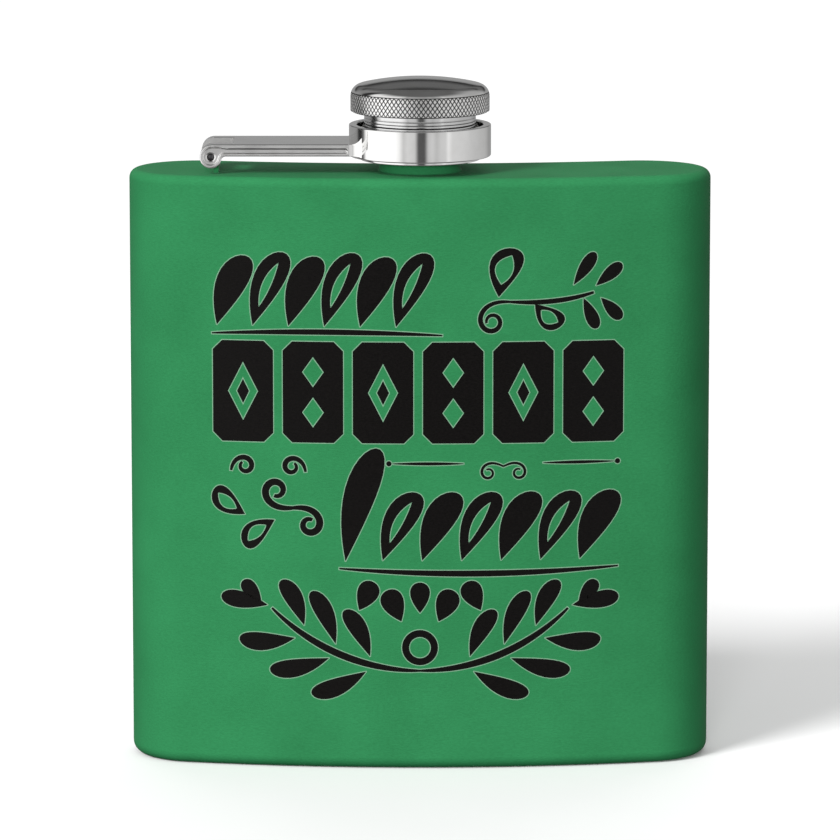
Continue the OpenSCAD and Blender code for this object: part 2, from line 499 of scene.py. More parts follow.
class Workpiece:
    """A mesh on the bench, in millimetres in the shared frame."""

    def __init__(self) -> None:
        """Starts with nothing on the bench."""
        self.bm = bmesh.new()

    def wire(
        self, points: Iterable[Sequence[float]], closed: bool = True
    ) -> tuple[list[bmesh.types.BMVert], list[bmesh.types.BMEdge]]:
        """Bends a wire through some points.

        Args:
            points: Points in order.
            closed: Whether the last point joins the first.

        Returns:
            The wire's vertices and edges.
        """
        verts = [self.bm.verts.new(point) for point in points]
        ends = verts[1:] + verts[:1] if closed else verts[1:]
        return verts, [self.bm.edges.new(pair) for pair in zip(verts, ends)]

    def section(
        self, corners: Sequence[Corner], place: Callable[[float, float], Sequence[float]], closed: bool, segments: int
    ) -> list[bmesh.types.BMVert | bmesh.types.BMEdge]:
        """Draws a section and rounds the corners that ask for it.

        Args:
            corners: The section's corners.
            place: Where a point across and up lies in space.
            closed: Whether the section closes on itself.
            segments: Facets in each rounded corner.

        Returns:
            The section's vertices and edges.
        """
        before = set(self.bm.verts)
        verts, _ = self.wire([place(c[0], c[1]) for c in corners], closed)
        for vert, corner in zip(verts, corners):
            if len(corner) > 2:
                bmesh.ops.bevel(
                    self.bm, geom=[vert], offset=corner[2], offset_type="OFFSET", segments=segments,
                    profile=0.5, affect="VERTICES", material=-1, clamp_overlap=True,
                )
        made = [vert for vert in self.bm.verts if vert not in before]
        return made + edges_of(made)

    def lathe(
        self, corners: Sequence[Corner], centre: Vector, steps: int, segments: int = 4, closed: bool = True,
        angle: float = FULL_TURN, start: float = 0.0,
    ) -> None:
        """Turns a section about a vertical axis.

        Args:
            corners: Radius, height above the centre and rounding of each corner.
            centre: A point on the axis.
            steps: Facets round the piece.
            segments: Facets in each rounded corner.
            closed: Whether the section closes on itself.
            angle: How far round the section goes.
            start: The angle at which it starts.
        """
        spoke = Vector((math.cos(start), math.sin(start), 0.0))
        geom = self.section(corners, lambda r, z: centre + r * spoke + z * UP, closed, segments)
        whole = abs(angle - FULL_TURN) < 1e-6
        bmesh.ops.spin(
            self.bm, geom=geom, cent=centre, axis=UP, angle=angle, steps=steps, use_merge=whole, use_duplicate=False
        )
        self.weld()

    def ridge(
        self, section: Sequence[Point], root: float, centre: Vector, pitch: float, turns: float, start: float,
        steps: int = 72, run_out: int = 10,
    ) -> None:
        """Winds a thread's ridge, which fades in and out at its ends.

        Args:
            section: Radius and height of the ridge's corners.
            root: The radius from which the ridge rises.
            centre: A point on the axis, at the height where the ridge starts.
            pitch: Rise per turn.
            turns: Length of the ridge in turns.
            start: The angle at which it starts.
            steps: Facets per turn.
            run_out: Steps over which each end fades.
        """
        spoke = Vector((math.cos(start), math.sin(start), 0.0))
        count = round(turns * steps)
        verts, edges = self.wire([centre + (root + (r - root) * 0.05) * spoke + z * UP for r, z in section])
        self.bm.faces.new(verts)
        geom, share = verts + edges, 0.05
        for step in range(1, count + 1):
            geom = bmesh.ops.spin(
                self.bm, geom=geom, cent=centre, axis=UP, dvec=UP * (pitch / steps), angle=FULL_TURN / steps,
                steps=1, use_duplicate=False,
            )["geom_last"]
            wanted = max(0.05, min(1.0, step / run_out, (count - step) / run_out))
            for vert in verts_in(geom):
                flat = Vector((vert.co.x - centre.x, vert.co.y - centre.y, 0.0))
                vert.co += flat.normalized() * (flat.length - root) * (wanted / share - 1.0)
            share = wanted
        bmesh.ops.holes_fill(self.bm, edges=edges_in(geom), sides=0)

    def fill(self, edges: Iterable[bmesh.types.BMEdge]) -> None:
        """Closes a flat outline, leaving the loops inside it as holes."""
        bmesh.ops.triangle_fill(self.bm, edges=list(edges), use_beauty=True, use_dissolve=False)

    def push(self, edges: Sequence[bmesh.types.BMEdge], by: Sequence[float]) -> list[bmesh.types.BMEdge]:
        """Pulls a wall out of some edges.

        Args:
            edges: The edges to pull.
            by: How far to pull them.

        Returns:
            The wall's far edges.
        """
        made = bmesh.ops.extrude_edge_only(self.bm, edges=list(edges))["geom"]
        verts = verts_in(made)
        bmesh.ops.translate(self.bm, verts=verts, vec=Vector(by))
        return [edge for edge in edges_in(made) if all(vert in verts for vert in edge.verts)]

    def ease(
        self, edges: Iterable[bmesh.types.BMEdge], offset: float, segments: int = 3, clamp: bool = True
    ) -> None:
        """Rounds edges over.

        Args:
            edges: The edges.
            offset: How far back each is rounded.
            segments: Facets across the rounding.
            clamp: Whether one short edge may shrink the whole rounding.
        """
        bmesh.ops.bevel(
            self.bm, geom=list(edges), offset=offset, offset_type="OFFSET", segments=segments, profile=0.5,
            affect="EDGES", material=-1, clamp_overlap=clamp,
        )

    def weld(self) -> None:
        """Joins points that lie on each other."""
        bmesh.ops.remove_doubles(self.bm, verts=list(self.bm.verts), dist=WELD)

    def deliver(
        self, name: str, finish: Finish, body: Body, stands_for: Sequence[str] = (), crease: float = 32.0,
        weigh: bool = True, others: Sequence[Finish] = (), mirrored: bool = True,
    ) -> bpy.types.Object:
        """Takes the mesh off the bench as a finished piece.

        Args:
            name: The piece's name.
            finish: What it wears.
            body: The body that it rides on.
            stands_for: CAD nodes that it stands for.
            crease: Edges that turn more than this many degrees stay sharp.
            weigh: Whether large flats keep their own shading.
            others: What its faces of the second and later materials wear.
            mirrored: Whether polished metal beside it mirrors it.

        Returns:
            The new piece.
        """
        self.weld()
        bmesh.ops.recalc_face_normals(self.bm, faces=list(self.bm.faces))
        bmesh.ops.scale(self.bm, vec=Vector((MM, MM, MM)), verts=list(self.bm.verts))
        limit = math.radians(crease)
        for edge in self.bm.edges:
            edge.smooth = len(edge.link_faces) == 2 and edge.calc_face_angle(0.0) < limit
        for face in self.bm.faces:
            face.smooth = True
        mesh = bpy.data.meshes.new(name)
        self.bm.to_mesh(mesh)
        self.bm.free()
        piece = bpy.data.objects.new(name, mesh)
        bpy.context.scene.collection.objects.link(piece)
        for worn in (finish, *others):
            mesh.materials.append(worn.material())
        piece.visible_glossy = mirrored
        if weigh:
            piece.modifiers.new("flats", "WEIGHTED_NORMAL").keep_sharp = True
        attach(piece, body.value)
        if stands_for:
            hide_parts(*stands_for)
        log.info("%s: %d faces on %s", name, len(mesh.polygons), body.value)
        return piece


@dataclass(frozen=True)
class Datum:
    """The places that every sub-assembly is set out from, in millimetres."""

    neck: Vector  # on the neck's axis, level with the shoulder
    pin: Vector  # middle of the hinge pin
    top: float  # height of the shoulder

    @classmethod
    def from_frame(cls) -> "Datum":
        """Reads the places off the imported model.

        Returns:
            The places.
        """
        low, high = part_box("neck_collar")
        first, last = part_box("hinge_pin")
        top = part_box("shoulder_plate")[1].z / MM
        middle, pin = (low + high) / 2 / MM, (first + last) / 2 / MM
        return cls(Vector((middle.x, middle.y, top)), pin, top)


@dataclass
class BentBody:
    """The flask's body: side sheet, shoulder and base, all bent to a hip."""

    datum: Datum
    half_thick: float = 11.0
    wall: float = 0.7
    bend: float = 164.0
    end: Point = (36.0, 2.0)
    shoulder_edge: float = 1.5
    base_edge: float = 1.9
    flat: float = 8.5  # where the flat middle of a plate starts, out from the bend line
    strip: float = 0.05
    hole: float = 6.01
    slit: Triple = (0.33, 1.22, 3.47)
    front_steps: int = 72
    end_steps: int = 48
    coat: Finish = field(default_factory=PowderCoat)

    @property
    def spread(self) -> float:
        """Half of the angle that the bend takes up."""
        return math.asin(self.end[0] / self.bend)

    @property
    def hub(self) -> Vector:
        """Centre of the bend."""
        return Vector((0.0, self.end[1] + self.bend * math.cos(self.spread), 0.0))

    def sweep(self, work: Workpiece, corners: Sequence[Corner], closed: bool = True, segments: int = 8) -> None:
        """Runs a section right round the body.

        Args:
            work: The mesh to add to.
            corners: Distance out from the bend line, height and rounding of each corner.
            closed: Whether the section closes on itself.
            segments: Facets in each rounded corner.
        """
        out = Vector((-math.sin(self.spread), -math.cos(self.spread), 0.0))
        geom = work.section(corners, lambda d, z: self.hub + (self.bend + d) * out + z * UP, closed, segments)
        right, left = (Vector((side * self.end[0], self.end[1], 0.0)) for side in (1, -1))
        for centre, angle, steps in (
            (self.hub, 2 * self.spread, self.front_steps), (right, math.pi, self.end_steps),
            (self.hub, -2 * self.spread, self.front_steps), (left, math.pi, self.end_steps),
        ):
            geom = bmesh.ops.spin(
                work.bm, geom=geom, cent=centre, axis=UP, angle=angle, steps=steps, use_duplicate=False
            )["geom_last"]
        work.weld()

    def rim_edges(self, work: Workpiece, height: float) -> list[bmesh.types.BMEdge]:
        """The open edges at a height.

        Args:
            work: The mesh to look in.
            height: Their height.

        Returns:
            The edges with fewer than two faces.
        """
        return [
            edge for edge in work.bm.edges
            if len(edge.link_faces) < 2 and all(abs(vert.co.z - height) < WELD for vert in edge.verts)
        ]

    def make_wrap(self) -> bpy.types.Object:
        """Makes the side sheet.

        Returns:
            The piece.
        """
        work = Workpiece()
        inner, low, high = self.half_thick - self.wall, self.base_edge, self.datum.top - self.shoulder_edge
        self.sweep(work, [(inner, low), (self.half_thick, low), (self.half_thick, high), (inner, high)])
        return work.deliver("side_sheet", self.coat, Body.FLASK, ["body_wrap"], mirrored=False)

    def plate(self, work: Workpiece, face: float, edge: float, inward: float) -> None:
        """Sweeps a plate's turned edge, its flat middle left open.

        Args:
            work: The mesh to add to.
            face: Height of the plate's outer face.
            edge: Rounding of its edge.
            inward: Whether the inside is up (1) or down (-1).
        """
        full, inner = self.half_thick, self.half_thick - self.wall
        rim, back = face + inward * edge, face + inward * self.wall
        self.sweep(work, [
            (self.flat, face), (full, face, edge - self.strip), (full, rim), (inner, rim),
            (inner, back, edge - self.wall - self.strip), (self.flat, back),
        ], closed=False)

    def make_shoulder(self) -> bpy.types.Object:
        """Makes the shoulder, with the neck's hole and the slit for the lug.

        Returns:
            The piece.
        """
        work = Workpiece()
        top, neck, pin = self.datum.top, self.datum.neck, self.datum.pin
        self.plate(work, top, self.shoulder_edge, -1.0)
        outer, inner = (self.rim_edges(work, z) for z in (top, top - self.wall))
        ring = bmesh.ops.create_circle(
            work.bm, segments=96, radius=self.hole, matrix=Matrix.Translation(neck)
        )["verts"]
        near, far, half = self.slit
        _, slit = work.wire([
            (pin.x + x, neck.y + y, top) for x, y in ((near, -half), (far, -half), (far, half), (near, half))
        ])
        holes = edges_of(ring) + slit
        below = work.push(holes, (0.0, 0.0, -self.wall))
        work.fill(outer + holes)
        work.fill(inner + below)
        return work.deliver("shoulder", self.coat, Body.FLASK, ["shoulder_plate"], mirrored=False)

    def make_base(self) -> bpy.types.Object:
        """Makes the base.

        Returns:
            The piece.
        """
        work = Workpiece()
        self.plate(work, 0.0, self.base_edge, 1.0)
        for height in (0.0, self.wall):
            work.fill(self.rim_edges(work, height))
        return work.deliver("base", self.coat, Body.FLASK, ["base_plate"], mirrored=False)


@dataclass
class Neck:
    """The pouring neck with its painted collar."""

    datum: Datum
    bore: float = 5.0
    tube: float = 6.0
    crest: float = 6.4
    high: float = 7.0
    collar: float = 6.6
    collar_high: float = 2.0
    pitch: float = 1.0
    thread_from: float = 5.25
    turns: float = 1.5

    def make_collar(self) -> bpy.types.Object:
        """Makes the painted collar, with a small fillet at its foot.

        Returns:
            The piece.
        """
        work = Workpiece()
        foot = self.collar + 0.25
        work.lathe([
            (self.tube + 0.01, 0.0), (foot, 0.0), (self.collar, 0.12, 0.1), (self.collar, self.collar_high, 0.22),
            (self.tube + 0.01, self.collar_high, 0.06),
        ], self.datum.neck, 128)
        return work.deliver("neck_collar_painted", PowderCoat(), Body.FLASK, ["neck_collar"], mirrored=False)

    def make_tube(self) -> bpy.types.Object:
        """Makes the steel neck with its thread.

        Returns:
            The piece.
        """
        work = Workpiece()
        work.lathe([
            (self.bore, -1.6, 0.1), (7.3, -1.6, 0.1), (7.3, -0.71), (self.tube, -0.71), (self.tube, self.high, 0.25),
            (self.bore, self.high, 0.25),
        ], self.datum.neck, 128)
        root = self.tube - 0.08
        section = [(root, -0.27), (self.crest, -0.07), (self.crest, 0.07), (root, 0.27)]
        start = self.datum.neck + UP * self.thread_from
        work.ridge(section, root, start, self.pitch, self.turns, 0.0)
        return work.deliver("pouring_neck", BrushedSteel(), Body.FLASK, ["pour_neck"])


@dataclass
class HingeLug:
    """The painted strap that is curled round the hinge pin."""

    datum: Datum
    outer: float = 1.1
    inner: float = 0.65
    width: float = 6.9
    leg: Point = (0.35, 1.2)
    foot: float = -1.6
    curl: float = 258.0

    def make(self) -> bpy.types.Object:
        """Makes the strap.

        Returns:
            The piece.
        """
        work = Workpiece()
        pin, half = self.datum.pin, self.width / 2
        verts, edges = work.wire([
            pin + Vector((x, y, 0.0))
            for x, y in ((self.inner, -half), (self.outer, -half), (self.outer, half), (self.inner, half))
        ])
        last = bmesh.ops.spin(
            work.bm, geom=verts + edges, cent=pin, axis=Vector((0.0, -1.0, 0.0)), angle=math.radians(self.curl),
            steps=44, use_duplicate=False,
        )["geom_last"]
        work.fill(edges_in(last))
        down = self.datum.pin.z - self.datum.top
        for drop in (down - 1.25, -self.foot + 1.25):
            edges = work.push(edges, (0.0, 0.0, -drop))
            for vert in {vert for edge in edges for vert in edge.verts}:
                vert.co.x = pin.x + self.leg[vert.co.x - pin.x > (self.inner + self.outer) / 2]
        work.fill(edges)
        work.weld()
        corners = [
            edge for edge in work.bm.edges
            if len(edge.link_faces) == 2 and edge.calc_face_angle(0.0) > math.radians(60)
        ]
        work.ease(corners, 0.08, 2)
        return work.deliver("lug_strap", PowderCoat(), Body.FLASK, ["hinge_lug"], mirrored=False)


@dataclass
class CapArm:
    """The cast arm: fork, bar and the ring that carries the cap, with its pin and clip."""

    datum: Datum
    half: float = 6.0
    low: float = 2.9
    high: float = 4.85
    slot_half: float = 3.6
    slot_end: float = 3.45
    eye: float = 1.76
    nose: float = 2.09
    under: float = 0.7
    root: float = 3.6
    recess: float = 0.35
    recess_eye: float = 1.31
    band: Point = (3.35, 4.17)
    chamfer: float = 0.8
    hole: float = 0.61
    ring: float = 11.45
    ring_bore: float = 10.2
    ring_foot: float = 2.6
    ring_high: float = 7.5
    buried: float = 10.8  # radius inside the ring's wall where the bar and its roots end
    skirt: Point = (9.75, 1.85)  # radius and foot of the thin skirt below the ring
    step: float = 0.2  # how far the ring's outside runs on below its foot
    web: Point = (3.9, 4.7)  # bottom and top of the web that traps the cap
    web_bore: float = 8.2
    clip_room: float = 9.3
    clip: Point = (7.68, 9.1)
    clip_rise: Point = (3.1, 3.8)
    clip_gap: float = 40.0
    pin_radius: float = 0.6
    pin_play: float = 1.0  # how much shorter the pin is than the room between the hollows
    easing: float = 0.16
    hollow_fillet: float = 0.26
    root_easing: float = 0.1
    climb: float = 2.6  # how late a root's top edge rises to the ring's
    sink: float = 0.05  # share of its radius by which a root's end dives into the ring
    plating: Finish = field(default_factory=Chrome)
    # The third finish is the dark chrome that paints shade in the hollow's upper corner.
    others: tuple[Finish, ...] = (SatinChrome(), ShadePaintedChrome())

    @property
    def reach(self) -> float:
        """Distance from the pin to the neck's axis."""
        return self.datum.neck.x - self.datum.pin.x

    @property
    def axis(self) -> float:
        """Height of the pin above the shoulder."""
        return self.datum.pin.z - self.datum.top

    @property
    def root_x(self) -> float:
        """Distance from the ring's axis to where the bar starts to widen."""
        return math.sqrt((self.ring + self.root) ** 2 - (self.half + self.root) ** 2)

    @staticmethod
    def arc(centre: Point, radius: float, start: float, stop: float, steps: int) -> list[Point]:
        """Points along an arc.

        Args:
            centre: The arc's centre.
            radius: Its radius.
            start: The angle it starts at, in degrees.
            stop: The angle it stops at, in degrees.
            steps: Facets in the arc.

        Returns:
            The points, both ends among them.
        """
        angles = [math.radians(start + (stop - start) * i / steps) for i in range(steps + 1)]
        return [(centre[0] + radius * math.cos(a), centre[1] + radius * math.sin(a)) for a in angles]

    def fillet(self, radius: float, eye: float, line: float) -> tuple[Point, float]:
        """Finds the fillet between the eye and a straight line to its right.

        Args:
            radius: The fillet's radius.
            eye: The eye's radius.
            line: Height of the line.

        Returns:
            The fillet's centre and the angle at which it leaves the eye, in degrees.
        """
        centre_z = line - radius
        centre_x = math.sqrt((eye + radius) ** 2 - (self.axis - centre_z) ** 2)
        return (centre_x, centre_z), math.degrees(math.atan2(self.axis - centre_z, -centre_x))

    def outline(self) -> list[Point]:
        """Side outline of the arm, along from the pin and up from the shoulder.

        Returns:
            The points, in order.
        """
        centre, leave = self.fillet(self.under, self.eye, self.low)
        end = self.reach - self.buried
        return [
            (end, self.low), (self.slot_end, self.low),
            *self.arc(centre, self.under, 90.0, leave, 5),
            *self.arc((0.0, self.axis), self.eye, leave - 180.0, -180.0, 22)[1:],
            *self.arc((self.nose - self.eye, self.axis), self.nose, 180.0, 90.0, 14)[1:],
            (self.slot_end, self.high), (end, self.high),
        ]

    def recess_outline(self) -> list[Point]:
        """Outline of the hollow in the arm's side.

        Returns:
            The points, in order.
        """
        low, high = self.band
        centre, leave = self.fillet(0.9, self.recess_eye, low)
        half = (high - low) / 2
        far = self.reach - self.root_x - half
        nose = self.nose - self.eye
        return [
            *self.arc((far, (low + high) / 2), half, 90.0, -90.0, 8),
            *self.arc(centre, 0.9, 90.0, leave, 6),
            *self.arc((0.0, self.axis), self.recess_eye, leave - 180.0, -180.0, 22)[1:],
            *self.arc((nose, self.axis), self.recess_eye + nose, 180.0, 78.0, 12)[1:],
            (1.7, high + 0.12), (2.8, high + 0.02),
        ]

    def bar(self, work: Workpiece) -> None:
        """Builds half of the bar and mirrors it.

        Args:
            work: The mesh to add to, still empty.
        """
        side, bm = -self.half, work.bm
        _, rim = work.wire([(x, side, z) for x, z in self.outline()])
        _, mouth = work.wire([(x, side, z) for x, z in self.recess_outline()])
        work.fill(rim + mouth)
        floor = work.push(mouth, (0.0, self.recess, 0.0))
        lay = Matrix.Translation((0.0, side + self.recess, self.axis)) @ Matrix.Rotation(math.pi / 2, 4, "X")
        eye = bmesh.ops.create_circle(bm, segments=32, radius=self.chamfer, matrix=lay)["verts"]
        bore = edges_of(eye)
        work.fill(floor + bore)
        bore = work.push(bore, (0.0, 0.14, 0.0))
        shrink = self.hole / self.chamfer
        bmesh.ops.scale(
            bm, vec=Vector((shrink, 1.0, shrink)), verts=list({v for e in bore for v in e.verts}),
            space=Matrix.Translation((0.0, 0.0, -self.axis)),
        )
        inner = -self.slot_half
        bore = work.push(bore, (0.0, inner - side - self.recess - 0.14, 0.0))
        inside = work.push(rim, (0.0, inner - side, 0.0))
        ear = [edge for edge in inside if max(vert.co.x for vert in edge.verts) <= self.slot_end + WELD]
        rest = [
            edge for edge in inside
            if edge not in ear and min(vert.co.x for vert in edge.verts) < self.reach - self.buried - WELD
        ]
        corners = [v for v in {v for e in ear for v in e.verts} if abs(v.co.x - self.slot_end) < WELD]
        chord = bm.edges.new(corners)
        work.fill(ear + [chord] + bore)
        work.push(rest + [chord], (0.0, -inner, 0.0))
        work.weld()
        for vert in bm.verts:
            if vert.co.x > self.reach - self.buried - WELD:
                vert.co.x = self.reach - math.sqrt(self.buried ** 2 - vert.co.y ** 2)
        bmesh.ops.mirror(bm, geom=[*bm.verts, *bm.edges, *bm.faces], axis="Y", merge_dist=WELD)
        bmesh.ops.holes_fill(bm, edges=[edge for edge in bm.edges if edge.is_boundary], sides=0)
        bmesh.ops.recalc_face_normals(bm, faces=list(bm.faces))
        end = self.reach - self.buried - WELD
        turned = [
            edge for edge in bm.edges
            if edge.calc_face_angle(0.0) > math.radians(50) and min(v.co.x for v in edge.verts) < end
        ]
        deep = [e for e in turned if all(abs(abs(v.co.y) - self.half + self.recess) < WELD for v in e.verts)
                and not self.is_bore(e)]
        sides = [e for e in turned if all(abs(abs(v.co.y) - self.half) < WELD for v in e.verts)]
        slot = [
            e for e in turned
            if all(abs(v.co.y) < self.slot_half + WELD and v.co.x < self.slot_end + WELD for v in e.verts)
            and min(v.co.z for v in e.verts) > self.high - WELD
        ]
        mouth_edges = [e for e in sides if self.is_mouth(e)]
        work.ease([e for e in sides if e not in mouth_edges], self.easing)
        work.ease([e for e in mouth_edges if e.is_valid], 0.07, 2)
        work.ease([e for e in deep if e.is_valid], self.hollow_fillet, 6, clamp=False)
        work.ease([e for e in slot if e.is_valid], 0.1, 2)
        self.dress(work)
        bmesh.ops.translate(bm, vec=Vector((self.datum.pin.x, self.datum.neck.y, self.datum.top)), verts=bm.verts)

    def dress(self, work: Workpiece) -> None:
        """Gives the bar's sides the satin finish and paints shade on the hollow's upper corner with the dark chrome.

        Args:
            work: The bar.
        """
        work.bm.normal_update()
        middle = sum(self.band) / 2
        for face in work.bm.faces:
            place, normal = face.calc_center_median(), face.normal
            # Faces turned down under the hollow's upper rim get the dark chrome: painted shade.
            corner = place.x > self.eye and middle < place.z < self.high - 0.3 and normal.z < -0.08
            lip = place.x > self.eye and self.low + 0.1 < place.z < middle and normal.z > 0.2
            face.material_index = 1 if abs(normal.y) > 0.97 or lip else 2 if corner else 0

    def is_bore(self, edge: bmesh.types.BMEdge) -> bool:
        """Whether an edge lies on the pin's hole."""
        middle = (edge.verts[0].co + edge.verts[1].co) / 2
        return math.hypot(middle.x, middle.z - self.axis) < self.chamfer + 0.02

    def is_mouth(self, edge: bmesh.types.BMEdge) -> bool:
        """Whether an edge lies on the hollow's mouth, and not on the arm's own outline.

        Args:
            edge: An edge on the arm's side.

        Returns:
            Whether it does.
        """
        middle = (edge.verts[0].co + edge.verts[1].co) / 2
        low, high = self.low + 0.2, self.high - 0.25
        if middle.x > 2.0:
            return low < middle.z < high
        return math.hypot(middle.x, middle.z - self.axis) < self.eye - 0.2 or (
            middle.x > 0 and math.hypot(middle.x, middle.z - self.axis) < self.eye + 0.05 and middle.z > self.axis
        )

    def roots(self, work: Workpiece) -> None:
        """Flares the bar's corners up to the ring's full height.

        Args:
            work: The mesh to add to.
        """
        web, steps, rows = Workpiece(), 24, 6
        hub = Vector((-self.root_x, -(self.half + self.root), 0.0))
        foot = Vector((-self.root_x, -self.half, 0.0))
        _, edges = web.wire([foot + UP * row for row in range(rows + 1)], closed=False)
        sweep = math.atan2(self.root_x, self.half + self.root)
        geom = [*web.bm.verts, *web.bm.edges]
        bmesh.ops.spin(web.bm, geom=geom, cent=hub, axis=-UP, angle=sweep, steps=steps, use_duplicate=False)
        for vert in web.bm.verts:
            out = vert.co - hub
            share = math.atan2(out.x, out.y) / sweep
            top = self.high + (self.ring_high - 0.12 - self.high) * share ** self.climb
            bottom = self.low + (self.ring_foot - self.low) * share ** 2
            vert.co.z = bottom + (top - bottom) * vert.co.z / rows
        made = bmesh.ops.extrude_face_region(web.bm, geom=list(web.bm.faces))["geom"]
        for vert in verts_in(made):
            flat = vert.co.to_2d()
            vert.co.xy = flat * (self.buried / flat.length)
        web.weld()
        bmesh.ops.recalc_face_normals(web.bm, faces=list(web.bm.faces))
        brink = [
            edge for edge in web.bm.edges
            if edge.calc_face_angle(0.0) > math.radians(50)
            and all(v.co.to_2d().length > self.ring + 0.25 for v in edge.verts)
        ]
        web.ease(brink, self.root_easing, 2)
        for vert in web.bm.verts:
            out = vert.co - hub
            share = math.atan2(out.x, out.y) / sweep
            if vert.co.to_2d().length > self.buried + WELD:
                vert.co.xy *= 1.0 - self.sink * min(1.0, max(0.0, 2 * share - 1.0)) ** 2
        bmesh.ops.mirror(web.bm, geom=[*web.bm.verts, *web.bm.edges, *web.bm.faces], axis="Y", merge_dist=0.0)
        bmesh.ops.translate(web.bm, vec=self.datum.neck, verts=web.bm.verts)
        mesh = bpy.data.meshes.new("roots")
        web.bm.to_mesh(mesh)
        web.bm.free()
        work.bm.from_mesh(mesh)
        bpy.data.meshes.remove(mesh)

    def make_arm(self) -> bpy.types.Object:
        """Makes the arm with its ring.

        Returns:
            The piece.
        """
        work = Workpiece()
        self.bar(work)
        self.roots(work)
        (web_low, web_high), (skirt, tip) = self.web, self.skirt
        foot = self.ring_foot - self.step
        work.lathe([
            (self.web_bore, web_low, 0.08), (self.clip_room, web_low), (self.clip_room, tip), (skirt, tip, 0.15),
            (skirt, foot, 0.06), (self.ring, foot, 0.28), (self.ring, self.ring_high, 0.16),
            (self.ring_bore, self.ring_high, 0.14), (self.ring_bore, web_high, 0.1),
            (self.web_bore, web_high, 0.08),
        ], self.datum.neck, 160)
        return work.deliver("cast_arm", self.plating, Body.ARM, ["cap_arm"], others=self.others)

    def make_pin(self) -> bpy.types.Object:
        """Makes the hinge pin, domed at both ends.

        Returns:
            The piece.
        """
        work = Workpiece()
        length, radius = 2 * (self.half - self.recess) - self.pin_play, self.pin_radius
        work.lathe([
            (0.0, 0.0), (0.34, 0.03), (radius, 0.2, 0.12), (radius, length - 0.2, 0.12), (0.34, length - 0.03),
            (0.0, length),
        ], ORIGIN, 40, closed=False)
        pin = self.datum.pin
        lay = Matrix.Translation((pin.x, pin.y + length / 2, pin.z)) @ Matrix.Rotation(math.pi / 2, 4, "X")
        bmesh.ops.transform(work.bm, matrix=lay, verts=work.bm.verts)
        return work.deliver("pin", PinSteel(), Body.ARM, ["hinge_pin"])

    def make_clip(self) -> bpy.types.Object:
        """Makes the spring clip that traps the cap in the ring.

        Returns:
            The piece.
        """
        work, gap = Workpiece(), math.radians(self.clip_gap)
        (inner, outer), (low, high) = self.clip, self.clip_rise
        work.lathe(
            [(inner, low, 0.1), (outer, low, 0.1), (outer, high, 0.1), (inner, high, 0.1)], self.datum.neck, 96,
            segments=2, angle=FULL_TURN - gap, start=gap / 2,
        )
        bmesh.ops.holes_fill(work.bm, edges=[edge for edge in work.bm.edges if edge.is_boundary], sides=0)
        return work.deliver("spring_clip", BrushedSteel(), Body.CARRIER, ["retaining_clip"])


